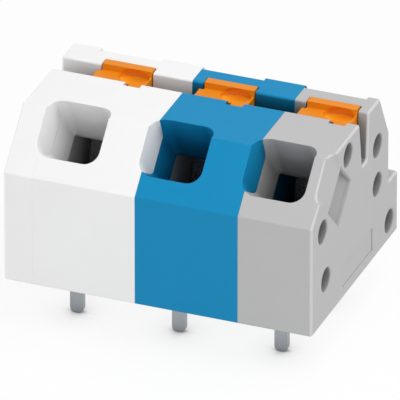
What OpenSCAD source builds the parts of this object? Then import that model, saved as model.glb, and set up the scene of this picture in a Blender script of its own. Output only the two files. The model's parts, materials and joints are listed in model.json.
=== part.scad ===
// Push-in terminal block for printed circuit boards: three poles in a row, closed by an end cover.
// X runs along the row, Y from the wire side to the rear, Z up from the board.
// The origin is on the board, in the middle of the block's footprint.

/* [Row] */
// Distance from one pole to the next
pitch = 7.5; // [7.4:0.1:9]
// Width of the cover that closes the left end
cover_w = 2.1; // [1.9:0.05:2.3]

/* [Housing outline] */
// Height of the block above the board
block_h = 11.9; // [11.7:0.1:13]
// Height and depth of the 45 degree slope that the wires enter
slope = 3.6; // [3.4:0.1:3.8]
// Front face to the near lip of the groove in the top
top_d = 9.05; // [8.9:0.05:9.4]
// Width of the groove at its lips
groove_w = 1.75; // [1.65:0.05:2]
// Depth of the groove
groove_h = 3.55; // [3.3:0.05:3.7]
// Lean of the groove's near wall
groove_lean = 0.55; // [0.3:0.05:0.6]
// Lean of the groove's far wall
groove_far_lean = 0.25; // [0.1:0.05:0.3]
// Width of the ridge behind the groove
ridge_w = 2.2; // [2:0.1:3]
// Depth of the sloping back
back_d = 1.75; // [1.2:0.05:2.5]
// Height of the sloping back
back_h = 3.4; // [2.8:0.1:3.8]
// Depth of the rear foot
foot_d = 1.75; // [1.6:0.05:3]
// Height of the rear foot
foot_h = 4.6; // [4:0.1:5.5]
// Rounding of the outline's corners
edge_r = 0.2; // [0.1:0.05:0.4]

/* [Wire funnel] */
// Width of the funnel at the slope
mouth_w = 4.58; // [4.2:0.02:4.7]
// Height of the funnel along the slope
mouth_h = 4.7; // [4.4:0.05:4.8]
// How far the funnel reaches into the neighbour on its left
mouth_reach = 0.38; // [0.3:0.02:0.45]
// Lower end of the slope to the funnel's lip
mouth_up = 1.63; // [1.55:0.01:1.8]
// Rounding of the funnel's corners at the slope
mouth_r = 1.05; // [0.8:0.05:1.2]
// Width of the wire passage at the funnel's inner end
throat_w = 3.2; // [2.8:0.1:3.3]
// Height of the wire passage at the funnel's inner end
throat_h = 2.65; // [2.4:0.05:2.8]
// Seam to the wire passage
throat_x = 0.4; // [0.3:0.05:0.5]
// Slope of the block to the funnel's inner end
throat_d = 4.9; // [4.6:0.05:5.1]
// Rise of the funnel's lower wall
throat_up = 0.7; // [0.5:0.05:0.85]
// Length of the lug that closes the funnel on its left
lug_d = 2.5; // [2:0.1:2.7]
// Thickness of that lug at its outer end
lug_t = 0.7; // [0.5:0.05:0.8]
// Thickness of that lug at its inner end
lug_tip_t = 0.12; // [0.1:0.02:0.3]
// How far the lug laps the wire passage above and below
lug_lap = 0.2; // [0.12:0.02:0.3]

/* [Joining pegs] */
// Diameter of the holes in the right-hand faces
peg_hole = 1.7; // [1.5:0.05:1.75]
// Depth of those holes
peg_hole_l = 1.6; // [1.4:0.05:1.7]
// Height between the two pegs behind the springs
peg_step = 3; // [2.6:0.1:3.2]

/* [Contacts] */
// Thickness of the contact strip
strip_t = 0.55; // [0.4:0.05:0.6]
// Width of the contact strip
strip_w = 3.1; // [2.7:0.1:3.2]
// Width of the tongue that the wire is pressed against
tongue_w = 1.9; // [1.4:0.1:2]
// Length of that tongue's straight part
tongue_l = 4.8; // [4:0.1:5]
// Fold of the tongue to the middle of the rear pin
heel = 0.91; // [0.8:0.01:1.2]
// Width of the solder pins
pin_w = 0.95; // [0.8:0.01:1.3]
// Length of the solder pins below the board
pin_l = 3.4; // [2.5:0.1:5]
// Front face to the front pin's middle
pin_y = 3.4; // [3.3:0.05:3.6]
// Distance between the two pins of a pole
pin_span = 7.6; // [7.2:0.05:7.65]
// Seam to the middle of the pins
pin_x = 1.95; // [1.9:0.05:2]

/* [Springs] */
// Thickness of the spring strip
spring_t = 0.35; // [0.25:0.01:0.4]
// Width of the spring strip
spring_w = 2.5; // [2:0.1:2.6]
// Radius of the spring's bend, to the middle of the strip
spring_r = 0.95; // [0.8:0.05:1]
// Lean of the clamping leg from upright
spring_lean = 15; // [10:1:18]

/* [Release buttons] */
// Width of the button
button_w = 3.95; // [3.6:0.05:4]
// Seam to the button's left end
button_x = 0.6; // [0.5:0.05:0.7]
// Depth of the button's face below the top of the block
button_drop = 0.35; // [0.2:0.05:0.5]
// Thickness of the button's face
button_t = 1.2; // [0.9:0.05:1.3]
// How far the button's upright stands above the top of the block
upright_rise = 0.1; // [0:0.05:0.2]
// Thickness of the button's upright
upright_t = 0.72; // [0.5:0.02:0.85]
// Half the width of the dimple for a screwdriver
dimple_r = 1.1; // [0.9:0.05:1.15]
// Width of the button's stem
stem_w = 1.06; // [0.8:0.02:1.1]
// How far the button's stem stands in front of the groove
stem_reach = 0.5; // [0.3:0.05:0.6]
// How far the button goes down
travel = 1; // [0.6:0.05:1.1]

/* [Fits] */
// Clearance of the metal pieces and pegs in the housings
gap = 0.05; // [0.03:0.01:0.06]
// Clearance of the sliding buttons
slide_gap = 0.08; // [0.05:0.01:0.1]

/* [Hidden] */
$fn = 48;
poles = 3;
// Cuts run this far past the faces that they break
over = 1;

// Places in the outline, from the front face and the board
front_h = block_h - slope;
groove_back = top_d + groove_w;
ridge_back = groove_back + ridge_w;
back_y = ridge_back + back_d;
block_d = back_y + foot_d;
block_w = poles * pitch;
groove_z = block_h - groove_h;
back_z = block_h - back_h;

// Wire passage, along the slope from its lower end
throat_a0 = mouth_up + throat_up;
throat_a1 = throat_a0 + throat_h;
mouth_a1 = mouth_up + mouth_h;
throat_r = 0.3;
lug_gap = 0.06;

// Chamber that holds the spring and the contact, open towards the left
chamber_roof = 0.5;
chamber_past = 0.6;
chamber_w = throat_x + throat_w;
chamber_top = groove_z - chamber_roof;
chamber_back = groove_back + chamber_past;

// Contact: its tongue is folded up beside the rear pin, half a strip below the wire passage,
// and the strip lies at the height where that fold ends
bend_r = 0.5;
pin_rear_y = pin_y + pin_span;
pin_tip_r = 0.44;
tongue_gap = 0.12;
tongue_a = throat_a0 - strip_t / 2;
hinge_y = pin_rear_y - heel;
tongue_y = hinge_y - bend_r * sin(45);
tongue_z = front_h + tongue_a * sqrt(2) - tongue_y;
strip_mid = tongue_z - bend_r * (1 - cos(45));
strip_z = strip_mid - strip_t / 2;
strip_top = strip_z + strip_t;

// Spring: its rear leg stands against the chamber's back
spring_x = pin_x - spring_w / 2;
spring_leg_y = chamber_back - gap - spring_t / 2;
spring_bend = [spring_leg_y - spring_r, chamber_top - 2 * gap - spring_t / 2 - spring_r];
spring_lift = 0.5;
spring_foot_z = strip_top + spring_lift;
leg_start = spring_bend + spring_r * [-cos(spring_lean), sin(spring_lean)];
leg_way = [-sin(spring_lean), -cos(spring_lean)];
// The clamping leg ends just above the tongue
leg_tip_a = throat_a0 + spring_t / 2 + gap;
leg_l = (leg_start[0] + leg_start[1] - front_h - leg_tip_a * sqrt(2)) / -(leg_way[0] + leg_way[1]);

// Button stem, and the ear of the clamping leg that it presses
stem_inset = 0.1;
stem_x1 = button_x + button_w - stem_inset;
stem_x0 = stem_x1 - stem_w;
stem_y = top_d - stem_reach;
stem_back = top_d + groove_lean - slide_gap;
ear_drop = 0.85;
ear_top = leg_start[1] - ear_drop;
ear_l = 0.7;
ear_r = 0.3;
stem_foot = ear_top + spring_t / 2 + 2 * gap;
hook_d = 0.22;
hook_h = 0.8;
bay_room = 1;
button_top = block_h - button_drop;
button_foot = button_top - button_t;
upright_in = 0.9;
upright_back = groove_back - groove_far_lean + upright_in;
upright_x = 0.3;
dimple_x = 2.76;
dimple_in = 0.42;
dimple_flat = [1, 0.8, 0.48];
dimple_y = groove_back - dimple_in;
notch_foot = button_foot - travel - 2 * slide_gap;

// Pegs that join neighbours, each placed from the part of the outline that it is near
slope_peg = [2.1, -1.2];
strip_peg = [2.75, 2.05];
top_peg = [-2.15, -1.3];
back_peg = [-0.4, 0.85];
foot_peg = [0.2, 1.4];
pegs = [[0, front_h] + slope_peg, [0, strip_z] + strip_peg, [top_d, block_h] + top_peg,
    [ridge_back, foot_h] + back_peg, [ridge_back, foot_h + peg_step] + back_peg,
    [back_y, 0] + foot_peg];
peg_short = 0.2;
peg_l = peg_hole_l - peg_short;

// Pocket for a marker strip behind each button
marker_w = button_x + button_w;
marker_d = 0.4;
marker_ledge = 0.5;

// Shallow field on the right-hand faces
field_past = 0.25;
field_y = [5.9, chamber_back + field_past];
field_z = [0.8, 2.5];
field_d = 0.08;

// Left seam of pole i, and the width of its housing
function seam(i) = cover_w + i * pitch;
function housing_w(i) = i < poles - 1 ? pitch : pitch - cover_w;

function unit(v) = v / norm(v);

// Soft corner at p, on the way from a to b
function soft(a, p, b, r) = let (
    u = unit(a - p),
    v = unit(b - p),
    half = acos(u * v) / 2,
    reach = r / tan(half),
    steps = 4
) [for (i = [0 : steps]) let (k = i / steps)
    p + reach * ((1 - k) * (1 - k) * u + k * k * v)];

// Outline with every corner softened
function softened(points, r) = [for (i = [0 : len(points) - 1])
    each soft(points[(i + len(points) - 1) % len(points)], points[i], points[(i + 1) % len(points)], r)];

// Outline of a strip of thickness t whose middle follows a path
function ribbon(path, t) = let (
    n = len(path) - 1,
    ways = [for (i = [0 : n]) unit(path[min(i + 1, n)] - path[max(i - 1, 0)])],
    side = [for (w = ways) t / 2 * [-w[1], w[0]]]
) concat([for (i = [0 : n]) path[i] + side[i]], [for (i = [n : -1 : 0]) path[i] - side[i]]);

// Points of an arc about a centre, from one angle to another
function arc(centre, r, from, to, steps = 12) = [for (i = [0 : steps])
    let (at = from + (to - from) * i / steps) centre + r * [cos(at), sin(at)]];

// Point in side view that lies a along the slope and d inside it
function in_slope(a, d) = [(a + d) / sqrt(2), front_h + (a - d) / sqrt(2)];

// A funnel edge at depth d, between its places at the slope and at the throat
function taper(at_mouth, at_throat, d) = at_mouth + (at_throat - at_mouth) * d / throat_d;

// Near wall of the groove at height z
function near_wall(z) = top_d + groove_lean * (block_h - z) / groove_h;

// Back of the block at height z
function back_at(z) = ridge_back + back_d * (block_h - z) / back_h;

// Side-view outlines, extruded along the row from x0 to x1
module across(x0, x1) {
    translate([x0, 0, 0]) rotate([90, 0, 90]) linear_extrude(x1 - x0) children();
}

// Frame of the slope: Y up along it, Z straight out of it
module on_slope() {
    translate([0, 0, front_h]) rotate([45, 0, 0]) children();
}

module at_pole(i) {
    translate([seam(i) - block_w / 2, -block_d / 2, 0]) children();
}

module block_outline() {
    polygon(softened([[0, 0], [0, front_h], [slope, block_h], [top_d, block_h],
        [top_d + groove_lean, groove_z], [groove_back - groove_far_lean, groove_z],
        [groove_back, block_h], [ridge_back, block_h], [back_y, back_z],
        [back_y, foot_h], [block_d, foot_h], [block_d, 0]], edge_r));
}

// Corner posts of the funnel's section at depth d
module funnel_section(d) {
    r = taper(mouth_r, throat_r, d);
    x0 = taper(-mouth_reach, throat_x, d);
    x1 = taper(mouth_w - mouth_reach, throat_x + throat_w, d);
    a0 = taper(mouth_up, throat_a0, d);
    a1 = taper(mouth_a1, throat_a1, d);
    for (x = [x0 + r, x1 - r], a = [a0 + r, a1 - r])
        translate([x, a, -d]) cylinder(r = r, h = gap / 2, $fn = 32);
}

// Wire funnel of a pole, which reaches a little into the neighbour on its left
module funnel() {
    on_slope() hull() {
        funnel_section(-over);
        funnel_section(throat_d + gap);
    }
}

// Wedge that closes the funnel on its left, grown by a clearance
module lug(grow) {
    d0 = throat_d - lug_d - grow;
    d1 = throat_d + grow;
    on_slope() translate([0, throat_a0 - lug_lap - grow, 0]) rotate([-90, 0, 0])
        linear_extrude(throat_h + 2 * (lug_lap + grow))
        polygon([[throat_x, d0], [-lug_t - grow, d0], [-lug_tip_t - grow, d1], [throat_x, d1]]);
}

module pegs_at(x, d, l) {
    for (p = pegs) translate([x, p[0], p[1]]) rotate([0, 90, 0]) cylinder(d = d, h = l);
}

// What every right-hand face has: peg holes, the neighbour's funnel and lug, a shallow field
module right_face_cuts(w) {
    pegs_at(w - peg_hole_l, peg_hole, peg_hole_l + over);
    translate([w, 0, 0]) {
        funnel();
        lug(lug_gap);
        translate([-field_d, field_y[0], field_z[0]])
            cube([field_d + over, field_y[1] - field_y[0], field_z[1] - field_z[0]]);
    }
}

// Hollow of a housing in side view: wire passage, seat of the contact strip, room for the spring
module chamber_outline() {
    seat_a = throat_a0 - strip_t - gap;
    seat_d = tongue_y * sqrt(2) - tongue_a - tongue_l - 2 * gap;
    seat_line = front_h + seat_a * sqrt(2);
    wedge_y = seat_line - strip_top - strip_t;
    slot_y = [pin_y - strip_t / 2 - gap, pin_rear_y + strip_t / 2 + gap];
    polygon([in_slope(throat_a0, throat_d), in_slope(throat_a0, seat_d), in_slope(seat_a, seat_d),
        [wedge_y, seat_line - wedge_y], [wedge_y, strip_top + gap],
        [slot_y[0], strip_top + gap], [slot_y[0], strip_z - gap], [slot_y[1], strip_z - gap],
        [slot_y[1], strip_top + gap], [chamber_back, strip_top + gap], [chamber_back, chamber_top],
        [front_h + throat_a1 * sqrt(2) - chamber_top, chamber_top], in_slope(throat_a1, throat_d)]);
}

// Ways for the solder pins, open to the left and to the board
module pin_ways() {
    for (y = [pin_y, pin_rear_y])
        translate([-over, y - strip_t / 2 - gap, -over])
            cube([over + pin_x + pin_w / 2 + gap, strip_t + 2 * gap, over + strip_z]);
}

// Shaft of the button's stem, the bay for its foot and the notch for its upright
module button_ways() {
    shaft_x = stem_x0 - slide_gap;
    shaft_w = stem_w + 2 * slide_gap;
    bay_foot = stem_foot - travel - bay_room;
    bay_front = stem_y - hook_d - 2 * slide_gap;
    bay_back = stem_back + slide_gap;
    translate([shaft_x, stem_y - slide_gap, chamber_top - over])
        cube([shaft_w, bay_back - stem_y + slide_gap, block_h + over]);
    translate([shaft_x, bay_front, bay_foot])
        cube([shaft_w, bay_back - bay_front, chamber_top - bay_foot]);
    translate([button_x + upright_x - slide_gap, groove_back - groove_far_lean - over / 2, notch_foot])
        cube([button_w - upright_x + 2 * slide_gap,
            upright_back + slide_gap - groove_back + groove_far_lean + over / 2, block_h]);
}

// Pocket for a marker strip on the sloping back
module marker_pocket() {
    foot = back_z + marker_ledge;
    top = block_h + over;
    across(-over, marker_w)
        polygon([[back_at(foot) - marker_d, foot], [back_at(foot) + over, foot],
            [back_at(top) + over + marker_d, top], [back_at(top) - marker_d, top]]);
}

module housing(w) {
    difference() {
        union() {
            across(0, w) block_outline();
            pegs_at(-peg_l, peg_hole - 2 * gap, peg_l + gap);
            lug(0);
        }
        funnel();
        across(-over, chamber_w) chamber_outline();
        pin_ways();
        button_ways();
        marker_pocket();
        right_face_cuts(w);
    }
}

// Push button: a face in the groove, an upright in the ridge, a dimple and a stem with a hook
module button() {
    back = groove_back - groove_far_lean;
    difference() {
        union() {
            across(button_x, button_x + button_w)
                polygon([[near_wall(button_foot - travel) + slide_gap, button_foot], [back, button_foot],
                    [back, button_top], [near_wall(button_top - travel) + slide_gap, button_top]]);
            translate([button_x + upright_x, upright_back - upright_t, button_foot])
                cube([button_w - upright_x, upright_t, block_h + upright_rise - button_foot]);
            translate([button_x + upright_x, back - gap, button_foot])
                cube([button_w - upright_x, upright_back - upright_t - back + 2 * gap, button_t]);
            across(stem_x0, stem_x1)
                polygon([[stem_y, button_top], [stem_y, chamber_top - gap],
                    [stem_y - hook_d, chamber_top - gap], [stem_y - hook_d, chamber_top - hook_h / 2],
                    [stem_y, chamber_top - hook_h], [stem_y, stem_foot], [stem_back, stem_foot],
                    [stem_back, button_foot], [back, button_foot], [back, button_top]]);
        }
        translate([button_x + dimple_x, dimple_y, button_top - gap]) scale(dimple_flat) sphere(r = dimple_r);
    }
}

// Solder pin with a round tip, bent from the strip; dir is the way along Y to the strip
module pin(y, dir) {
    top = strip_mid - bend_r;
    outline = [[-pin_w / 2, top], [-pin_w / 2, -pin_l], [pin_w / 2, -pin_l], [pin_w / 2, top]];
    translate([pin_x, y + strip_t / 2, 0]) rotate([90, 0, 0]) linear_extrude(strip_t)
        polygon(concat([outline[0]], soft(outline[0], outline[1], outline[2], pin_tip_r),
            soft(outline[1], outline[2], outline[3], pin_tip_r), [outline[3]]));
    across(pin_x - pin_w / 2, pin_x + pin_w / 2)
        polygon(ribbon(concat([[y, top - strip_t]],
            arc([y + dir * bend_r, top], bend_r, dir > 0 ? 180 : 0, 90),
            [[y + dir * (bend_r + strip_t), strip_mid]]), strip_t));
}

// Contact strip with two solder pins, and a tongue cut free and folded up along the wire
module contact() {
    x0 = pin_x - strip_w / 2;
    y0 = pin_y + bend_r;
    window = [tongue_w + 2 * tongue_gap, hinge_y - y0 - strip_t];
    pin(pin_y, 1);
    pin(pin_rear_y, -1);
    difference() {
        translate([x0, y0, strip_z]) cube([strip_w, pin_span - 2 * bend_r, strip_t]);
        translate([pin_x - window[0] / 2, y0 + strip_t, strip_z - over])
            cube([window[0], window[1], 2 * over + strip_t]);
    }
    across(pin_x - tongue_w / 2, pin_x + tongue_w / 2)
        polygon(ribbon(concat([[hinge_y + strip_t / 2, strip_mid]],
            arc([hinge_y, strip_mid + bend_r], bend_r, -90, -135),
            [[tongue_y, tongue_z] + tongue_l * unit([-1, 1])]), strip_t));
}

// Leg spring: rear leg, bend, clamping leg, and an ear under the button's stem
module spring() {
    ear_down = leg_start[1] - ear_top + ear_r * (1 + sin(spring_lean));
    ear_end = leg_start + leg_way * ear_down / -leg_way[1];
    ear_bend = ear_end - ear_r * [cos(spring_lean), -sin(spring_lean)];
    across(spring_x, spring_x + spring_w)
        polygon(ribbon(concat([[spring_leg_y, spring_foot_z]],
            arc(spring_bend, spring_r, 0, 180 - spring_lean), [leg_start + leg_l * leg_way]), spring_t));
    across(spring_x + spring_w - gap, stem_x1)
        polygon(ribbon(concat([[stem_y, ear_top]], arc(ear_bend, ear_r, 90, -spring_lean),
            [ear_end + ear_l * leg_way]), spring_t));
}

module end_cover() {
    color("white") translate([-block_w / 2, -block_d / 2, 0]) difference() {
        across(0, cover_w) block_outline();
        right_face_cuts(cover_w);
    }
}

module white_housing() { color("white") at_pole(0) housing(housing_w(0)); }
module blue_housing() { color("#2C8EC4") at_pole(1) housing(housing_w(1)); }
module grey_housing() { color("#BEBEBE") at_pole(2) housing(housing_w(2)); }

module left_button() { color("darkorange") at_pole(0) button(); }
module middle_button() { color("darkorange") at_pole(1) button(); }
module right_button() { color("darkorange") at_pole(2) button(); }

module left_contact() { color("silver") at_pole(0) contact(); }
module middle_contact() { color("silver") at_pole(1) contact(); }
module right_contact() { color("silver") at_pole(2) contact(); }

module left_spring() { color("gainsboro") at_pole(0) spring(); }
module middle_spring() { color("gainsboro") at_pole(1) spring(); }
module right_spring() { color("gainsboro") at_pole(2) spring(); }

end_cover();
white_housing();
blue_housing();
grey_housing();
left_button();
middle_button();
right_button();
left_contact();
middle_contact();
right_contact();
left_spring();
middle_spring();
right_spring();
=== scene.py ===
"""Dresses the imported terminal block: rounded mouldings, bent springs, plastic, metal and a studio."""

import json
import math

import bmesh
import bpy
from bpy.props import FloatProperty, FloatVectorProperty, PointerProperty
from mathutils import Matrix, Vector
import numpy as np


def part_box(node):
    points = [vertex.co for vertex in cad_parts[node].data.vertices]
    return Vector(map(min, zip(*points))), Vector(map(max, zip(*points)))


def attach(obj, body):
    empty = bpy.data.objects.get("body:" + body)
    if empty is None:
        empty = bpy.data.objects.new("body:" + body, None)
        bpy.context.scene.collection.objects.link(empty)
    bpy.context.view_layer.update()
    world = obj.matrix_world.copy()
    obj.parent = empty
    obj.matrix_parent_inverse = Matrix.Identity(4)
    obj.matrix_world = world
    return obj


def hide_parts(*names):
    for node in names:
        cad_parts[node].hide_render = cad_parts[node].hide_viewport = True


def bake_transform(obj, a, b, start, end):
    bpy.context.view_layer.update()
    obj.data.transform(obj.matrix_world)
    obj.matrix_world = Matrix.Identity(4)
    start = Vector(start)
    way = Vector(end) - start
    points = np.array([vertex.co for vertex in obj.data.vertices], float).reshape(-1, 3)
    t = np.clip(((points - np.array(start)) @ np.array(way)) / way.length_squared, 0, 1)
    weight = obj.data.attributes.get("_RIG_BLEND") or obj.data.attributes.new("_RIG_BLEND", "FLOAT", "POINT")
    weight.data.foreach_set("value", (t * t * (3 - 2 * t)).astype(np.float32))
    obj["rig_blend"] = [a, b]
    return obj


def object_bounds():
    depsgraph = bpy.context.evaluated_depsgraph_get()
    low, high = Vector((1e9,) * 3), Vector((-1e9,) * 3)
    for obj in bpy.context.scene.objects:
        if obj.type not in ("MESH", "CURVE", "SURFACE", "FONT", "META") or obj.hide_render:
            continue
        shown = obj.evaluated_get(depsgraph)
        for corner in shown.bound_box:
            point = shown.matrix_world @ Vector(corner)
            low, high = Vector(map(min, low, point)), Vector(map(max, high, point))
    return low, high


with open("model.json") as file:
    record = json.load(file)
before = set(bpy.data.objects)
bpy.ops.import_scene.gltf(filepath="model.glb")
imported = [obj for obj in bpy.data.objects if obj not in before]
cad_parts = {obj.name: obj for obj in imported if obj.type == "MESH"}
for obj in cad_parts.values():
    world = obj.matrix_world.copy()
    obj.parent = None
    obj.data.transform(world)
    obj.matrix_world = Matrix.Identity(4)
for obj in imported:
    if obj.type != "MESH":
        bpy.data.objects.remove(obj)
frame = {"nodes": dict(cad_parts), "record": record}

bl_info = {
    "name": "Push-in Terminal Block",
    "version": (1, 0, 0),
    "blender": (4, 5, 0),
    "location": "View3D > Sidebar > Terminal Block",
    "description": "Finishes a board terminal block and sets it on a studio floor",
    "category": "Object",
}

MM = 0.001
CAD_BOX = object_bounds()
SLOTS = {m["slot"]: m for m in frame["record"]["materials"]}
HOUSINGS = {
    "end_cover": "white_polyamide",
    "white_housing": "white_polyamide",
    "blue_housing": "blue_polyamide",
    "grey_housing": "grey_polyamide",
}
POLES = ("left", "middle", "right")

# Straight out of the slope that the wire funnels open on
OUT_OF_SLOPE = Vector((0.0, -1.0, 1.0)).normalized()
UP = Vector((0.0, 0.0, 1.0))

# Solids are worked on in millimetres, and so are the next lengths.
# Edges shorter than SPECK are dropped, and points closer than SAME become one
SPECK = 0.0005
SAME = 0.002
# Points this close to a plane or an outline lie on it. The second is the stricter test
ON_PLANE = 0.004
RIGHT_ON_PLANE = 0.001
# How far the half funnel reaches in from the row's end
HALF_FUNNEL = 1.2
# Least and greatest depth of each kind of opening in a housing's side
HOLE_DEPTHS = (1.2, 3.0)
POCKET_DEPTHS = (0.12, 1.2)
FIELD_DEPTHS = (0.02, 0.12)
# On the top, a mouth's edges this close to a seam stay as they are
SEAM_ROOM = 0.05
# The dimple's faces are smaller than this, in square millimetres, and keep their edges
DIMPLE_FACE = 0.06

# Faces that differ by less than FLAT become one, and those within CREASE are shaded as one
FLAT = math.radians(0.4)
CREASE = math.radians(32)
# Edges with a larger angle between their faces are rounded: on housings, and on other pieces
HOUSING_CORNER = math.radians(30)
CORNER = math.radians(50)

# Part of a face's normal along the row: larger on a side, smaller on the walls that go in from it
SIDE_FACE = 0.9
SIDE_WALL = 0.01
POCKET_WALL = 0.5
# Part of it out of the slope, or up: on the slope or the top, on a funnel's wall, on a dimple's floor
SAME_WAY = 0.999
FUNNEL_WALL = (0.05, 0.6)
DIMPLE_FLOOR = 0.7

# Face attributes: 1 on the rims and dimple floors that get a painted highlight, and 1 in the pockets for a
# lug, which get a fixed painted shade
PAINTED_HIGHLIGHT = "painted_highlight"
POCKET = "pocket"

# How far the mould draws marks out along X, and the mill along Z
DRAW_STRETCH = (14.0, 1.0, 1.0)
STREAK_STRETCH = (1.0, 1.0, 18.0)
# Share of the clouds in the plastic's tone, beside its grain, and of the streaks in the metal's
CLOUD_SHARE = 0.7
STREAK_SHARE = 0.6
# Height of the draw marks, as a share of the grain's
DRAW_HEIGHT = 0.3
# Range of roughness that each pattern adds
DRAW_ROUGHNESS = 0.1
GRAIN_ROUGHNESS = 0.14
PATCH_ROUGHNESS = 0.2
STREAK_ROUGHNESS = 0.16
# How much the floor's paper varies either way
PAPER_VARIATION = 0.005
# Openness below which plastic counts as deep in a recess and gets its full painted shade, and below which
# the floor gets its full painted contact shadow
DEEPEST = 0.2
FULL_CONTACT_SHADE = 0.35

# Into how many steps the part of a spring that gives is cut
GIVE_STEPS = 6


def tint(name, description, default):
    return FloatVectorProperty(
        name=name, description=description, default=default, min=0.0, max=1.0, subtype="COLOR"
    )


def slot_colour(slot, name, description):
    """A colour that starts as the record's colour of a material slot."""
    return tint(name, description, SLOTS[slot]["base_color"])


def length(name, description, default):
    return FloatProperty(
        name=name, description=description, default=default, min=0.0, precision=6, unit="LENGTH"
    )


def lengths(name, description, default):
    """A place or a size, with one length for each axis."""
    return FloatVectorProperty(
        name=name,
        description=description,
        default=default,
        size=len(default),
        precision=6,
        subtype="XYZ_LENGTH",
        unit="LENGTH",
    )


def wattage(name, description, default):
    return FloatProperty(name=name, description=description, default=default, min=0.0, unit="POWER")


def share(name, description, default, most=1.0):
    return FloatProperty(
        name=name, description=description, default=default, min=0.0, max=most, subtype="FACTOR"
    )


def angle(name, description, degrees):
    return FloatProperty(
        name=name, description=description, default=math.radians(degrees), subtype="ANGLE"
    )


class MouldedShape(bpy.types.PropertyGroup):
    """Rounding of the moulded edges."""

    end_edge: length("End edges", "Rounding of the outline at both ends of the row", 0.16 * MM)
    seam_edge: length("Seam edges", "Rounding of the outline where two poles meet", 0.01 * MM)
    mouth_edge: length("Mouth edges", "Rounding of the wire funnels' mouths", 0.06 * MM)
    half_mouth_edge: length("Half mouth", "Rounding of the half funnel at the row's end", 0.12 * MM)
    hole_edge: length("Hole edges", "Rounding of the joining holes", 0.14 * MM)
    pocket_edge: length("Pocket edges", "Rounding of the pockets for a neighbour's lug", 0.15 * MM)
    field_edge: length("Field edges", "Slope of the shallow fields' edges", 0.06 * MM)
    button_edge: length("Button edges", "Rounding of the buttons", 0.05 * MM)


class MouldedFinish(bpy.types.PropertyGroup):
    """Plastic of the cover, the housings and the buttons."""

    white: slot_colour("white_polyamide", "White", "Cover and left housing")
    blue: slot_colour("blue_polyamide", "Blue", "Middle housing")
    grey: slot_colour("grey_polyamide", "Grey", "Right housing")
    orange: slot_colour("orange_button", "Orange", "Release buttons")
    roughness: share("Roughness", "Roughness of the cover and the housings", 0.5)
    button_roughness: share("Button roughness", "Roughness of the buttons", 0.36)
    specular: share("Specular", "Strength of the plastic's reflections", 0.15)
    variation: share("Variation", "How much the housings' colours vary either way", 0.025)
    button_variation: share("Button variation", "How much the buttons' colour varies", 0.03)
    clouds: length("Clouds", "Size of the faint clouds in the colour", 2.4 * MM)
    draw_marks: length("Draw marks", "Width of the faint marks along the mould's draw", 0.25 * MM)
    grain: length("Grain", "Size of the mould's eroded grain", 0.06 * MM)
    grain_depth: length("Grain depth", "Depth of that grain", 0.004 * MM)
    # Painted highlight: faces marked on the rims at the row's ends take the colour times this level
    rim_painted_highlight: share("Rim lightness", "How light the rims at both ends of the row are", 1.22, 2.0)
    # Painted shade: by ambient occlusion over this reach, the colour darkens towards the shares below deep
    # in a recess
    recess: length("Recess reach", "How far a wall shades the plastic beside it", 3.5 * MM)
    white_painted_shade: share("White recess", "Share of the white that is left deep in a recess", 0.68)
    blue_painted_shade: share("Blue recess", "The same for the blue plastic", 0.3)
    grey_painted_shade: share("Grey recess", "The same for the grey plastic", 0.38)
    button_painted_shade: share("Button recess", "The same for the buttons", 1.0)
    button_light: share("Button lightness", "Share of the orange that the buttons show", 0.86)
    # Painted highlight: the dimples' upward floors take the buttons' colour times this level
    dimple_painted_highlight: share("Dimple lightness", "How light the dimples' floors are", 1.6, 2.0)
    # Painted shade of a fixed depth on the pockets for a lug
    pocket_painted_shade: share("Pocket lightness", "How open the pockets look, from recess to skin", 0.62)


class MetalFinish(bpy.types.PropertyGroup):
    """Tinned contacts and steel springs."""

    tin: slot_colour("tinned_copper", "Tin", "Plating of the contacts")
    steel: slot_colour("spring_steel", "Steel", "Clamping springs")
    tin_roughness: share("Tin roughness", "Roughness of the contacts", 0.34)
    steel_roughness: share("Steel roughness", "Roughness of the springs", 0.28)
    streaks: length("Streaks", "Width of the streaks from rolling", 0.05 * MM)
    streak_depth: length("Streak depth", "Depth of those streaks", 0.003 * MM)
    patches: length("Patches", "Size of the dull patches", 0.9 * MM)
    dark: share("Dark", "Share of the colour where the metal is darkest", 0.62)
    light: share("Light", "Share of the colour where the metal is lightest", 0.95)
    # Painted shade: by ambient occlusion over this reach, the metal darkens towards the next share
    recess: length("Recess reach", "How far a wall shades the metal beside it", 2.0 * MM)
    painted_recess_shade: share("Recess", "Share of the colour that is left deep in a recess", 0.35)
    edge: length("Metal edges", "Rounding of the sheared strips' edges", 0.05 * MM)


class SpringShape(bpy.types.PropertyGroup):
    """Strip that each clamping spring is bent from."""

    thickness: length("Thickness", "Thickness of the strip", 0.35 * MM)
    width: length("Width", "Width of the strip", 2.5 * MM)
    radius: length("Bend", "Radius of the bend, to the middle of the strip", 0.95 * MM)
    lean: angle("Lean", "Lean of the clamping leg", 15.0)
    ear_reach: length("Ear reach", "How far the ear reaches in front of the bend", 0.757 * MM)
    ear_drop: length("Ear drop", "How far the ear lies below the bend", 0.85 * MM)
    ear_radius: length("Ear bend", "Radius of the ear's bend", 0.3 * MM)
    ear_foot: length("Ear foot", "Length by which the ear goes on along the leg", 0.3 * MM)
    ear_lap: length("Ear lap", "How far the ear laps into the strip", 0.05 * MM)
    ear_step: length("Ear step", "How far the ear's faces lie behind the strip's", 0.02 * MM)
    give_from: length("Give from", "Where across the strip it starts to follow the button", 2.35 * MM)
    give_to: length("Give to", "Where across the strip it follows the button fully", 2.69 * MM)


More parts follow.
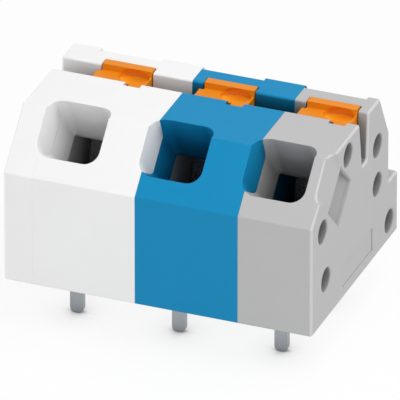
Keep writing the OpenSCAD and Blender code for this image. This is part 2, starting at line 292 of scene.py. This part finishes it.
class Studio(bpy.types.PropertyGroup):
    """Floor, lamps and camera."""

    floor: tint("Floor", "Colour of the floor's paper", (0.93, 0.93, 0.93))
    floor_reach: length("Floor reach", "How far the floor reaches to each side", 0.6)
    floor_white: share("White floor", "Share of plain white in what is seen of the floor", 0.9)
    fibres: length("Fibres", "Size of the faint clouds in the paper", 3.0 * MM)
    # Painted contact shadow: by ambient occlusion over this reach, the floor's white darkens towards the
    # contact tone
    contact_shadow: length("Contact shadow", "Reach of the shade round the pins' feet", 2.5 * MM)
    contact_tone: tint("Contact tone", "Colour of that shade at its darkest", (0.3, 0.3, 0.31))
    sky: FloatProperty(name="Sky", description="Strength of the even light", default=0.5, min=0.0)
    key: wattage("Key lamp", "Power of the large lamp above", 0.22)
    key_size: lengths("Key size", "Width and depth of that lamp", (0.16, 0.16))
    key_place: lengths("Key place", "Where it hangs, from the block's middle", (0.078, -0.01, 0.17))
    fill: wattage("Fill lamp", "Power of the low lamp in front", 0.085)
    fill_size: lengths("Fill size", "Width and depth of that lamp", (0.24, 0.07))
    fill_place: lengths("Fill place", "Where it hangs, from the block's middle", (0.03, -0.21, 0.08))
    aim: lengths("Aim", "Point that the camera looks at", (0.0, -0.25 * MM, 4.354 * MM))
    azimuth: angle("Azimuth", "Camera's turn to the right of the wire side", 21.3)
    elevation: angle("Elevation", "Camera's height above the floor", 28.7)
    field: length("Field", "Width that the camera sees", 27.35 * MM)
    distance: length("Distance", "Camera's distance from the block", 1.0)


class BlockSettings(bpy.types.PropertyGroup):
    """Everything that can be set for the terminal block."""

    shape: PointerProperty(type=MouldedShape)
    moulded: PointerProperty(type=MouldedFinish)
    spring: PointerProperty(type=SpringShape)
    metal: PointerProperty(type=MetalFinish)
    studio: PointerProperty(type=Studio)


class Value:
    """A socket in a node tree. Arithmetic on numbers adds Math nodes."""

    def __init__(self, graph, socket):
        self.graph = graph
        self.socket = socket

    def math(self, operation, first, second):
        node = self.graph.node("ShaderNodeMath", {"operation": operation}, {0: first, 1: second})
        return self.graph.value(node, "Value")

    def __add__(self, other):
        return self.math("ADD", self, other)

    __radd__ = __add__

    def __sub__(self, other):
        return self.math("SUBTRACT", self, other)

    def __rsub__(self, other):
        return self.math("SUBTRACT", other, self)

    def __mul__(self, other):
        return self.math("MULTIPLY", self, other)

    __rmul__ = __mul__

    def rise(self, low):
        """0 up to low, and a smooth rise from there to 1."""
        node = self.graph.node(
            "ShaderNodeMapRange",
            {"interpolation_type": "SMOOTHSTEP"},
            {"Value": self, "From Min": low, "From Max": 1.0},
        )
        return self.graph.value(node, "Result")

    def swing(self, spread):
        """Goes as far below 0 as above it, over a spread, as the value goes from 0 to 1."""
        return (self - 0.5) * spread


class Graph:
    """A node tree that is written as expressions."""

    def __init__(self, tree):
        self.tree = tree
        tree.nodes.clear()

    @staticmethod
    def find(sockets, key):
        if isinstance(key, int):
            return sockets[key]
        return next(s for s in sockets if key in (s.identifier, s.name))

    def node(self, kind, settings=None, sockets=None):
        """Adds a node: its settings first, then the values or links of its sockets."""
        node = self.tree.nodes.new(kind)
        for key, setting in (settings or {}).items():
            setattr(node, key, setting)
        for key, given in (sockets or {}).items():
            socket = self.find(node.inputs, key)
            if isinstance(given, (Value, list)):
                for source in given if isinstance(given, list) else [given]:
                    self.tree.links.new(source.socket, socket)
            else:
                socket.default_value = given
        return node

    def value(self, node, output):
        return Value(self, self.find(node.outputs, output))

    def end_in_mix(self, output, factor, first, second):
        """Ends the tree in two shaders, the first where the factor is 0 and the second where it is 1."""
        mix = self.node("ShaderNodeMixShader", None, {0: factor, 1: first, 2: second})
        self.node(output, None, {"Surface": self.value(mix, "Shader")})


class Finish(Graph):
    """A material on Object coordinates."""

    def __init__(self, name):
        self.material = bpy.data.materials.new(name)
        self.material.use_nodes = True
        super().__init__(self.material.node_tree)
        place = self.node("ShaderNodeTexCoord")
        self.place = self.value(place, "Object")

    def noise(self, size, detail=3.0, stretch=(1.0, 1.0, 1.0)):
        """Clouds of a size in metres, drawn out along the axes where stretch is above 1."""
        scale = tuple(1.0 / (size * s) for s in stretch)
        mapping = self.node("ShaderNodeMapping", None, {"Vector": self.place, "Scale": scale})
        noise = self.node(
            "ShaderNodeTexNoise",
            {"noise_dimensions": "3D"},
            {"Vector": self.value(mapping, "Vector"), "Scale": 1.0, "Detail": detail},
        )
        return self.value(noise, "Fac")

    def between(self, factor, first, second):
        """A colour that goes from the first to the second as the factor goes from 0 to 1."""
        colours = [c if isinstance(c, Value) else (*c, 1.0) for c in (first, second)]
        mix = self.node(
            "ShaderNodeMix",
            {"data_type": "RGBA"},
            {"Factor_Float": factor, "A_Color": colours[0], "B_Color": colours[1]},
        )
        return self.value(mix, "Result_Color")

    def openness(self, reach):
        """1 where nothing stands within reach, and less in corners."""
        node = self.node("ShaderNodeAmbientOcclusion", {"samples": 8}, {"Distance": reach})
        return self.value(node, "AO")

    def mark(self, name):
        """A number that the mesh holds for each face."""
        node = self.node("ShaderNodeAttribute", {"attribute_type": "GEOMETRY", "attribute_name": name})
        return self.value(node, "Fac")

    def bump(self, height, depth):
        bump = self.node("ShaderNodeBump", None, {"Height": height, "Strength": 1.0, "Distance": depth})
        return self.value(bump, "Normal")

    def surface(self, **sockets):
        """Ends the material in a Principled shader, whose sockets are named in lower case."""
        named = {key.replace("_", " ").title().replace("Ior", "IOR"): v for key, v in sockets.items()}
        shader = self.node("ShaderNodeBsdfPrincipled", None, named)
        self.node("ShaderNodeOutputMaterial", None, {"Surface": self.value(shader, "BSDF")})
        return self.material


def shaded(colour, level):
    """A colour times a level, without going past white."""
    return tuple(min(1.0, c * level) for c in colour)


def moulded_plastic(name, colour, settings, painted_recess_shade, painted_highlight, roughness, variation):
    """Satin moulding: eroded grain, faint clouds in the colour, faint marks along the mould's draw, painted
    shade in recesses and pockets, and painted highlights on marked faces.
    """
    finish = Finish(name)
    clouds = finish.noise(settings.clouds)
    draw = finish.noise(settings.draw_marks, detail=2.0, stretch=DRAW_STRETCH)
    grain = finish.noise(settings.grain)
    tone = clouds * CLOUD_SHARE + grain * (1 - CLOUD_SHARE)
    skin = finish.between(tone, shaded(colour, 1 - variation), shaded(colour, 1 + variation))
    # Painted shade: darker in recesses by ambient occlusion, and a fixed painted shade on the pockets
    pocket = finish.mark(POCKET)
    clear = finish.openness(settings.recess).rise(DEEPEST)
    shade = clear * (1 - pocket) + pocket * settings.pocket_painted_shade
    skin = finish.between(shade, shaded(colour, painted_recess_shade), skin)
    return finish.surface(
        # Painted highlight on the faces marked for it
        base_color=finish.between(finish.mark(PAINTED_HIGHLIGHT), skin, shaded(colour, painted_highlight)),
        roughness=roughness + draw.swing(DRAW_ROUGHNESS) + grain.swing(GRAIN_ROUGHNESS),
        specular_ior_level=settings.specular,
        normal=finish.bump(grain + draw * DRAW_HEIGHT, settings.grain_depth),
    )


def drawn_metal(name, colour, settings, roughness):
    """Rolled strip: fine upright streaks, dull patches, and painted shade where it stands in something."""
    finish = Finish(name)
    streaks = finish.noise(settings.streaks, stretch=STREAK_STRETCH)
    patches = finish.noise(settings.patches)
    tone = streaks * STREAK_SHARE + patches * (1 - STREAK_SHARE)
    skin = finish.between(tone, shaded(colour, settings.dark), shaded(colour, settings.light))
    # Painted shade by ambient occlusion
    shade = finish.openness(settings.recess).rise(0.0)
    return finish.surface(
        base_color=finish.between(shade, shaded(colour, settings.painted_recess_shade), skin),
        metallic=1.0,
        roughness=roughness + patches.swing(PATCH_ROUGHNESS) + streaks.swing(STREAK_ROUGHNESS),
        normal=finish.bump(streaks, settings.streak_depth),
    )


def add(name, data):
    """A new object in the scene."""
    made = bpy.data.objects.new(name, data)
    bpy.context.scene.collection.objects.link(made)
    return made


def whole_solid(mesh):
    """A copy of a mesh in millimetres, with its triangles joined to whole faces."""
    solid = bmesh.new()
    solid.from_mesh(mesh)
    bmesh.ops.scale(solid, vec=(1 / MM,) * 3, verts=solid.verts)
    bmesh.ops.remove_doubles(solid, verts=solid.verts, dist=SAME)
    bmesh.ops.dissolve_degenerate(solid, edges=solid.edges, dist=SPECK)
    bmesh.ops.dissolve_limit(solid, angle_limit=FLAT, verts=solid.verts, edges=solid.edges)
    for mark in (PAINTED_HIGHLIGHT, POCKET):
        solid.faces.layers.float.new(mark)
    return solid


def mark_faces(solid, faces, mark):
    for face in faces:
        face[solid.faces.layers.float[mark]] = 1.0


def round_edges(solid, edges, radius, mark=None, segments=3):
    """Rounds edges, and may mark what that makes."""
    made = bmesh.ops.bevel(
        solid,
        geom=edges,
        offset=radius / MM,
        offset_type="OFFSET",
        segments=segments,
        profile=0.5,
        affect="EDGES",
        clamp_overlap=False,
    )
    if mark:
        mark_faces(solid, made["faces"], mark)


def sharp_edges(solid, least_angle, least_face=0.0):
    """Edges that stand out, with more than an angle between faces of more than an area."""
    return [
        e
        for e in solid.edges
        if e.is_convex
        and e.calc_face_angle(0.0) > least_angle
        and all(f.calc_area() > least_face for f in e.link_faces)
    ]


def off_line(place, first, second):
    """Distance of a point from the line between two others."""
    way = second - first
    along = min(1.0, max(0.0, (place - first).dot(way) / way.length_squared))
    return (place - first - along * way).length


def finished_piece(solid, name, material):
    """A piece from a solid in millimetres, smooth between its creases. The solid is used up."""
    bmesh.ops.dissolve_degenerate(solid, edges=solid.edges, dist=SPECK)
    bmesh.ops.scale(solid, vec=(MM,) * 3, verts=solid.verts)
    for face in solid.faces:
        face.smooth = True
    for edge in solid.edges:
        edge.smooth = edge.calc_face_angle(0.0) < CREASE
    mesh = bpy.data.meshes.new(name)
    solid.to_mesh(mesh)
    solid.free()
    mesh.materials.append(material)
    piece = add(name, mesh)
    shading = piece.modifiers.new("Even flats", "WEIGHTED_NORMAL")
    shading.keep_sharp = True
    return piece


def stand_for(piece, node, body):
    """The piece takes a CAD node's place on a body."""
    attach(piece, body)
    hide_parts(node)


def side_outline(solid):
    """Edges of the plain face at the row's left end, which every housing shares as its outline."""
    left = min(v.co.x for v in solid.verts)
    return [
        [v.co.yz for v in edge.verts]
        for edge in solid.edges
        if all(abs(v.co.x - left) < ON_PLANE for v in edge.verts)
        and not all(abs(f.normal.x) > SIDE_FACE for f in edge.link_faces)
    ]


class HousingEdges:
    """Finds the standing edges of a housing by where they lie, since each kind is rounded by itself."""

    def __init__(self, solid, outline):
        self.solid = solid
        self.outline = outline
        sides = [v.co.x for v in solid.verts if self.at_outline(v)]
        self.sides = (min(sides), max(sides))
        self.slope_height = max(v.co.dot(OUT_OF_SLOPE) for v in solid.verts)
        self.top = max(v.co.z for v in solid.verts)

    def at_outline(self, vert):
        return any(off_line(vert.co.yz, *ends) < ON_PLANE for ends in self.outline)

    def depth(self, face):
        """How deep a face's highest corner lies below the slope."""
        return self.slope_height - max(v.co.dot(OUT_OF_SLOPE) for v in face.verts)

    def standing(self):
        return [e for e in sharp_edges(self.solid, HOUSING_CORNER) if len(e.link_faces) == 2]

    def on_side(self, side):
        """Edges on one side of the housing, each with the wall that goes in from it."""
        for edge in self.standing():
            walls = [f for f in edge.link_faces if abs(f.normal.x) < SIDE_WALL]
            if len(walls) == 1 and all(abs(v.co.x - side) < RIGHT_ON_PLANE for v in edge.verts):
                yield edge, walls[0]

    def rim(self, side):
        return [e for e, _ in self.on_side(side) if all(self.at_outline(v) for v in e.verts)]

    def openings(self, side, depths):
        """Edges of what is sunk into a side between two depths."""
        found = []
        for edge, wall in self.on_side(side):
            depth = max(abs(v.co.x - side) for v in wall.verts)
            inner = not all(self.at_outline(v) for v in edge.verts)
            if inner and depths[0] < depth < depths[1]:
                found.append(edge)
        return found

    def pocket_faces(self, side):
        """Walls and floor of the pockets on a side. They lie below the funnel that leads to them."""
        edges = self.openings(side, POCKET_DEPTHS)
        walls = {f for e in edges for f in e.link_faces if abs(f.normal.x) < POCKET_WALL}
        beside = {f for w in walls for e in w.edges for f in e.link_faces}
        floors = {f for f in beside if not any(abs(v.co.x - side) < ON_PLANE for v in f.verts)}
        return walls | {f for f in floors if self.depth(f) > HALF_FUNNEL}

    def outside(self, face, edge):
        """Whether a face is the slope or the top, with an edge on it. On the top, seams are left out."""
        for way, height in ((OUT_OF_SLOPE, self.slope_height), (UP, self.top)):
            if face.normal.dot(way) > SAME_WAY:
                lies_on = all(abs(v.co.dot(way) - height) < RIGHT_ON_PLANE for v in edge.verts)
                clear = way is OUT_OF_SLOPE or not any(
                    abs(v.co.x - side) < SEAM_ROOM for v in edge.verts for side in self.sides
                )
                return lies_on and clear
        return False

    def mouths(self, half):
        """Edges of the wire funnel, or of the half funnel that is open at the row's end."""
        found = []
        low, high = FUNNEL_WALL
        for edge in self.standing():
            walls = [f for f in edge.link_faces if low < f.normal.dot(OUT_OF_SLOPE) < high]
            outer = [f for f in edge.link_faces if self.outside(f, edge)]
            at_end = all(abs(v.co.x) > CAD_BOX[1].x / MM - HALF_FUNNEL for v in edge.verts)
            if len(walls) == 1 and len(outer) == 1 and at_end == half:
                found.append(edge)
        return found


class TERMINAL_OT_housings(bpy.types.Operator):
    """Round the cover's and the housings' edges and give them their plastic"""

    bl_idname = "terminal.housings"
    bl_label = "Mould Housings"

    def execute(self, context):
        shape = context.scene.terminal_block.shape
        moulded = context.scene.terminal_block.moulded
        colours = {
            "white_polyamide": (moulded.white, moulded.white_painted_shade),
            "blue_polyamide": (moulded.blue, moulded.blue_painted_shade),
            "grey_polyamide": (moulded.grey, moulded.grey_painted_shade),
        }
        skin = (moulded.rim_painted_highlight, moulded.roughness, moulded.variation)
        plastics = {
            slot: moulded_plastic(slot, colour, moulded, painted_recess_shade, *skin)
            for slot, (colour, painted_recess_shade) in colours.items()
        }
        cover = whole_solid(frame["nodes"]["end_cover"].data)
        outline = side_outline(cover)
        cover.free()
        for node, slot in HOUSINGS.items():
            solid = whole_solid(frame["nodes"][node].data)
            edges = HousingEdges(solid, outline)
            for side in edges.sides:
                if abs(abs(side) - CAD_BOX[1].x / MM) < ON_PLANE:
                    # The rims at the row's ends are marked for a painted highlight
                    round_edges(solid, edges.rim(side), shape.end_edge, PAINTED_HIGHLIGHT)
                else:
                    round_edges(solid, edges.rim(side), shape.seam_edge)
            round_edges(solid, edges.mouths(half=False), shape.mouth_edge)
            # The half funnel's rounded mouth is marked for a painted highlight
            round_edges(solid, edges.mouths(half=True), shape.half_mouth_edge, PAINTED_HIGHLIGHT)
            for side in edges.sides:
                round_edges(solid, edges.openings(side, HOLE_DEPTHS), shape.hole_edge)
                round_edges(solid, edges.openings(side, FIELD_DEPTHS), shape.field_edge, segments=1)
                # The pockets for a lug are marked for a fixed painted shade
                mark_faces(solid, edges.pocket_faces(side), POCKET)
                round_edges(solid, edges.openings(side, POCKET_DEPTHS), shape.pocket_edge, POCKET)
            stand_for(finished_piece(solid, f"{node}_moulding", plastics[slot]), node, "block")
        return {"FINISHED"}


class TERMINAL_OT_buttons(bpy.types.Operator):
    """Round the release buttons' edges and give them their plastic"""

    bl_idname = "terminal.buttons"
    bl_label = "Mould Buttons"

    def execute(self, context):
        shape = context.scene.terminal_block.shape
        moulded = context.scene.terminal_block.moulded
        slot = "orange_button"
        orange = shaded(moulded.orange, moulded.button_light)
        skin = (moulded.dimple_painted_highlight, moulded.button_roughness, moulded.button_variation)
        plastic = moulded_plastic(slot, orange, moulded, moulded.button_painted_shade, *skin)
        radius = shape.button_edge
        for pole in POLES:
            node = f"{pole}_button"
            solid = whole_solid(frame["nodes"][node].data)
            dimple = [f for f in solid.faces if f.calc_area() < DIMPLE_FACE]
            # The dimples' upward floors are marked for a painted highlight
            mark_faces(solid, [f for f in dimple if f.normal.z > DIMPLE_FLOOR], PAINTED_HIGHLIGHT)
            hollow = {v for f in dimple for v in f.verts}
            clear = [
                e
                for e in sharp_edges(solid, CORNER, DIMPLE_FACE)
                if all(off_line(v.co, *[end.co for end in e.verts]) > radius / MM for v in hollow)
            ]
            round_edges(solid, clear, radius)
            stand_for(finished_piece(solid, f"{node}_cap", plastic), node, f"{pole}_release")
        return {"FINISHED"}


class TERMINAL_OT_contacts(bpy.types.Operator):
    """Round the contacts' sheared edges and give them their tin plating"""

    bl_idname = "terminal.contacts"
    bl_label = "Stamp Contacts"

    def execute(self, context):
        metal = context.scene.terminal_block.metal
        slot = "tinned_copper"
        tin = drawn_metal(slot, metal.tin, metal, metal.tin_roughness)
        for pole in POLES:
            node = f"{pole}_contact"
            solid = whole_solid(frame["nodes"][node].data)
            round_edges(solid, sharp_edges(solid, CORNER), metal.edge)
            stand_for(finished_piece(solid, f"{node}_strip", tin), node, "block")
        return {"FINISHED"}


def strip_tree():
    """Node tree that bends a strip along one path and its ear along a second path, and joins them."""
    tree = bpy.data.node_groups.new("bent_strip", "GeometryNodeTree")
    tree.interface.new_socket("Paths", in_out="INPUT", socket_type="NodeSocketGeometry")
    for size in ("Width", "Thickness", "Ear width", "Ear thickness", "Ear from", "Edge"):
        tree.interface.new_socket(size, in_out="INPUT", socket_type="NodeSocketFloat")
    tree.interface.new_socket("Metal", in_out="INPUT", socket_type="NodeSocketMaterial")
    tree.interface.new_socket("Strip", in_out="OUTPUT", socket_type="NodeSocketGeometry")
    graph = Graph(tree)
    given = graph.node("NodeGroupInput")
    place = graph.node("GeometryNodeInputPosition")
    parts = graph.node("ShaderNodeSeparateXYZ", None, {"Vector": graph.value(place, "Position")})
    in_ear = graph.node(
        "FunctionNodeCompare",
        {"data_type": "FLOAT", "operation": "GREATER_THAN"},
        {"A": graph.value(parts, "X"), "B": graph.value(given, "Ear from")},
    )
    paths = graph.node(
        "GeometryNodeSeparateGeometry",
        {"domain": "POINT"},
        {"Geometry": graph.value(given, "Paths"), "Selection": graph.value(in_ear, "Result")},
    )

    def swept(path, width, thickness):
        line = graph.node("GeometryNodeMeshToCurve", None, {"Mesh": path})
        turned = graph.node(
            "GeometryNodeSetCurveNormal",
            {"mode": "FREE"},
            {"Curve": graph.value(line, "Curve"), "Normal": (1.0, 0.0, 0.0)},
        )
        section = graph.node(
            "GeometryNodeCurvePrimitiveQuadrilateral",
            {"mode": "RECTANGLE"},
            {"Width": graph.value(given, width), "Height": graph.value(given, thickness)},
        )
        rounded = graph.node(
            "GeometryNodeFilletCurve",
            {"mode": "POLY"},
            {"Curve": graph.value(section, "Curve"), "Count": 3, "Radius": graph.value(given, "Edge")},
        )
        strip = graph.node(
            "GeometryNodeCurveToMesh",
            None,
            {
                "Curve": graph.value(turned, "Curve"),
                "Profile Curve": graph.value(rounded, "Curve"),
                "Fill Caps": True,
            },
        )
        return graph.value(strip, "Mesh")

    leg = swept(graph.value(paths, "Inverted"), "Width", "Thickness")
    ear = swept(graph.value(paths, "Selection"), "Ear width", "Ear thickness")
    joined = graph.node(
        "GeometryNodeMeshBoolean", {"operation": "UNION", "solver": "EXACT"}, {"Mesh 2": [leg, ear]}
    )
    real = graph.node("GeometryNodeRealizeInstances", None, {"Geometry": graph.value(joined, "Mesh")})
    coated = graph.node(
        "GeometryNodeSetMaterial",
        None,
        {"Geometry": graph.value(real, "Geometry"), "Material": graph.value(given, "Metal")},
    )
    graph.node("NodeGroupOutput", None, {"Strip": graph.value(coated, "Geometry")})
    return tree


def arc(centre, radius, start, end, steps=12):
    """Points of an arc in side view, from one angle to another."""
    turns = [start + (end - start) * i / steps for i in range(steps + 1)]
    return [centre + radius * Vector((math.cos(t), math.sin(t))) for t in turns]


def spring_paths(shape, low, high):
    """Side views of a spring's strip and of its ear, inside the box of its CAD node."""
    half = shape.thickness / 2
    rear = high.y - half
    bend = Vector((rear - shape.radius, high.z - half - shape.radius))
    lean = shape.lean
    way = Vector((-math.sin(lean), -math.cos(lean)))
    turn = arc(bend, shape.radius, 0.0, math.pi - lean)
    start = turn[-1]
    reach = (start.x - low.y - half * math.cos(lean)) / math.sin(lean)
    strip = [Vector((rear, low.z)), *turn, start + reach * way]

    ear_down = shape.ear_drop + shape.ear_radius * (1 + math.sin(lean))
    ear_end = start + way * ear_down / math.cos(lean)
    ear_bend = ear_end - shape.ear_radius * Vector((math.cos(lean), -math.sin(lean)))
    fold = arc(ear_bend, shape.ear_radius, math.pi / 2, -lean)
    front = Vector((start.x - shape.ear_reach, start.y - shape.ear_drop))
    ear = [front, *fold, ear_end + shape.ear_foot * way]
    return strip, ear


def bent_spring(name, tree, shape, edge, steel, low, high):
    """Mesh of a spring that the node tree bends inside the box of its CAD node."""
    ear_x = low.x + shape.width - shape.ear_lap
    ear_width = high.x - ear_x
    strip, ear = spring_paths(shape, low, high)
    points = [(low.x + shape.width / 2, *p) for p in strip] + [(ear_x + ear_width / 2, *p) for p in ear]
    links = [(i, i + 1) for i in range(len(points) - 1) if i + 1 != len(strip)]
    mesh = bpy.data.meshes.new(name)
    mesh.from_pydata(points, links, [])
    made = add(name, mesh)
    bend = made.modifiers.new("Bend", "NODES")
    bend.node_group = tree
    sizes = {
        "Width": shape.width,
        "Thickness": shape.thickness,
        "Ear width": ear_width,
        "Ear thickness": shape.thickness - 2 * shape.ear_step,
        "Ear from": ear_x,
        "Edge": edge,
        "Metal": steel,
    }
    for item in tree.interface.items_tree:
        if item.name in sizes:
            bend[item.identifier] = sizes[item.name]
    bent = bpy.data.meshes.new_from_object(made.evaluated_get(bpy.context.evaluated_depsgraph_get()))
    made.modifiers.remove(bend)
    bpy.data.objects.remove(made)
    return bent


class TERMINAL_OT_springs(bpy.types.Operator):
    """Bend the clamping springs, with an ear that follows the button"""

    bl_idname = "terminal.springs"
    bl_label = "Bend Springs"

    def execute(self, context):
        shape = context.scene.terminal_block.spring
        metal = context.scene.terminal_block.metal
        slot = "spring_steel"
        steel = drawn_metal(slot, metal.steel, metal, metal.steel_roughness)
        tree = strip_tree()
        for pole in POLES:
            node = f"{pole}_spring"
            low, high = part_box(node)
            solid = whole_solid(bent_spring(f"{node}_path", tree, shape, metal.edge, steel, low, high))
            start = Vector((low.x + shape.give_from, low.y, low.z))
            end = Vector((low.x + shape.give_to, low.y, low.z))
            for i in range(GIVE_STEPS + 1):
                bmesh.ops.bisect_plane(
                    solid,
                    geom=[*solid.verts, *solid.edges, *solid.faces],
                    plane_co=start.lerp(end, i / GIVE_STEPS) / MM,
                    plane_no=(1.0, 0.0, 0.0),
                )
            piece = finished_piece(solid, f"{node}_strip", steel)
            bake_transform(piece, "block", f"{pole}_release", start=start, end=end)
            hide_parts(node)
        return {"FINISHED"}


def seen_directly(graph):
    """1 for rays that show the studio itself: from the camera, by gloss or through glass."""
    path = graph.node("ShaderNodeLightPath")
    shown = graph.value(path, "Is Camera Ray")
    shown = shown.math("MAXIMUM", shown, graph.value(path, "Is Glossy Ray"))
    return shown.math("MAXIMUM", shown, graph.value(path, "Is Transmission Ray"))


def studio_world(studio):
    """Even light, in front of a white background."""
    world = bpy.data.worlds.new("studio_sky")
    world.use_nodes = True
    bpy.context.scene.world = world
    graph = Graph(world.node_tree)

    def even(strength):
        sky = graph.node("ShaderNodeBackground", None, {"Color": (1, 1, 1, 1), "Strength": strength})
        return graph.value(sky, "Background")

    graph.end_in_mix("ShaderNodeOutputWorld", seen_directly(graph), even(studio.sky), even(1.0))


def floor_paper(studio):
    """Matt white paper, darker round the pins' feet by a painted contact shadow, with a faint shadow of the
    block.
    """
    finish = Finish("floor_paper")
    fibres = finish.noise(studio.fibres)
    tones = [shaded(studio.floor, 1 + change) for change in (-PAPER_VARIATION, PAPER_VARIATION)]
    colour = finish.between(fibres, *tones)
    # Painted contact shadow round the pins' feet, from ambient occlusion
    clear_of_contact_shadow = finish.openness(studio.contact_shadow).rise(FULL_CONTACT_SHADE)
    paper = finish.node("ShaderNodeBsdfDiffuse", None, {"Color": colour})
    white = finish.node(
        "ShaderNodeEmission",
        None,
        {"Color": finish.between(clear_of_contact_shadow, studio.contact_tone, (1, 1, 1)), "Strength": 1.0},
    )
    finish.end_in_mix(
        "ShaderNodeOutputMaterial",
        seen_directly(finish) * studio.floor_white,
        finish.value(paper, "BSDF"),
        finish.value(white, "Emission"),
    )
    return finish.material


def facing(made, place, target):
    """Puts an object in its place, turned towards a target."""
    made.location = place
    made.rotation_euler = (target - place).to_track_quat("-Z", "Y").to_euler()
    return made


def soft_lamp(name, size, power, place, target):
    """A large square or oblong lamp that the camera doesn't see."""
    lamp = bpy.data.lights.new(name, "AREA")
    lamp.shape = "RECTANGLE"
    lamp.size, lamp.size_y = size
    lamp.energy = power
    made = facing(add(name, lamp), place, target)
    made.visible_camera = False


def studio_floor(studio):
    """Paper that the solder pins stand on."""
    reach = studio.floor_reach
    low = CAD_BOX[0].z
    mesh = bpy.data.meshes.new("studio_floor")
    corners = [(reach * x, reach * y, low) for x, y in ((-1, -1), (1, -1), (1, 1), (-1, 1))]
    mesh.from_pydata(corners, [], [(0, 1, 2, 3)])
    mesh.materials.append(floor_paper(studio))
    add("studio_floor", mesh)


def studio_camera(studio):
    """Camera on the wire side, which sees a given width at its aim."""
    camera = bpy.data.cameras.new("camera")
    camera.sensor_width = 36.0
    camera.lens = camera.sensor_width * studio.distance / studio.field
    camera.clip_start = 0.01
    camera.clip_end = 10.0
    across = math.cos(studio.elevation)
    back = Vector((
        math.sin(studio.azimuth) * across,
        -math.cos(studio.azimuth) * across,
        math.sin(studio.elevation),
    ))
    return facing(add("camera", camera), studio.aim + back * studio.distance, studio.aim)


class TERMINAL_OT_stage(bpy.types.Operator):
    """Set the floor under the solder pins, the lamps and the camera"""

    bl_idname = "terminal.stage"
    bl_label = "Set Stage"

    def execute(self, context):
        studio = context.scene.terminal_block.studio
        context.scene.view_settings.view_transform = "Standard"
        studio_world(studio)
        studio_floor(studio)
        middle = (CAD_BOX[0] + CAD_BOX[1]) / 2
        soft_lamp("key_lamp", studio.key_size, studio.key, middle + studio.key_place, middle)
        soft_lamp("fill_lamp", studio.fill_size, studio.fill, middle + studio.fill_place, middle)
        context.scene.camera = studio_camera(studio)
        return {"FINISHED"}


class TERMINAL_PT_sidebar(bpy.types.Panel):
    """Steps that dress the terminal block, with their settings"""

    bl_label = "Terminal Block"
    bl_idname = "TERMINAL_PT_sidebar"
    bl_space_type = "VIEW_3D"
    bl_region_type = "UI"
    bl_category = "Terminal Block"

    def draw(self, context):
        settings = context.scene.terminal_block
        for title, groups, operators in (
            ("Plastic", (settings.shape, settings.moulded), ("terminal.housings", "terminal.buttons")),
            ("Metal", (settings.metal, settings.spring), ("terminal.contacts", "terminal.springs")),
            ("Studio", (settings.studio,), ("terminal.stage",)),
        ):
            box = self.layout.box()
            box.label(text=title)
            for group in groups:
                for key in group.__annotations__:
                    box.prop(group, key)
            for operator in operators:
                box.operator(operator)


CLASSES = (
    MouldedShape,
    MouldedFinish,
    SpringShape,
    MetalFinish,
    Studio,
    BlockSettings,
    TERMINAL_OT_housings,
    TERMINAL_OT_buttons,
    TERMINAL_OT_contacts,
    TERMINAL_OT_springs,
    TERMINAL_OT_stage,
    TERMINAL_PT_sidebar,
)


def register():
    for cls in CLASSES:
        bpy.utils.register_class(cls)
    bpy.types.Scene.terminal_block = PointerProperty(type=BlockSettings)


def unregister():
    del bpy.types.Scene.terminal_block
    for cls in reversed(CLASSES):
        bpy.utils.unregister_class(cls)


def main():
    register()
    bpy.ops.terminal.housings()
    bpy.ops.terminal.buttons()
    bpy.ops.terminal.contacts()
    bpy.ops.terminal.springs()
    bpy.ops.terminal.stage()


if __name__ == "__main__":
    main()
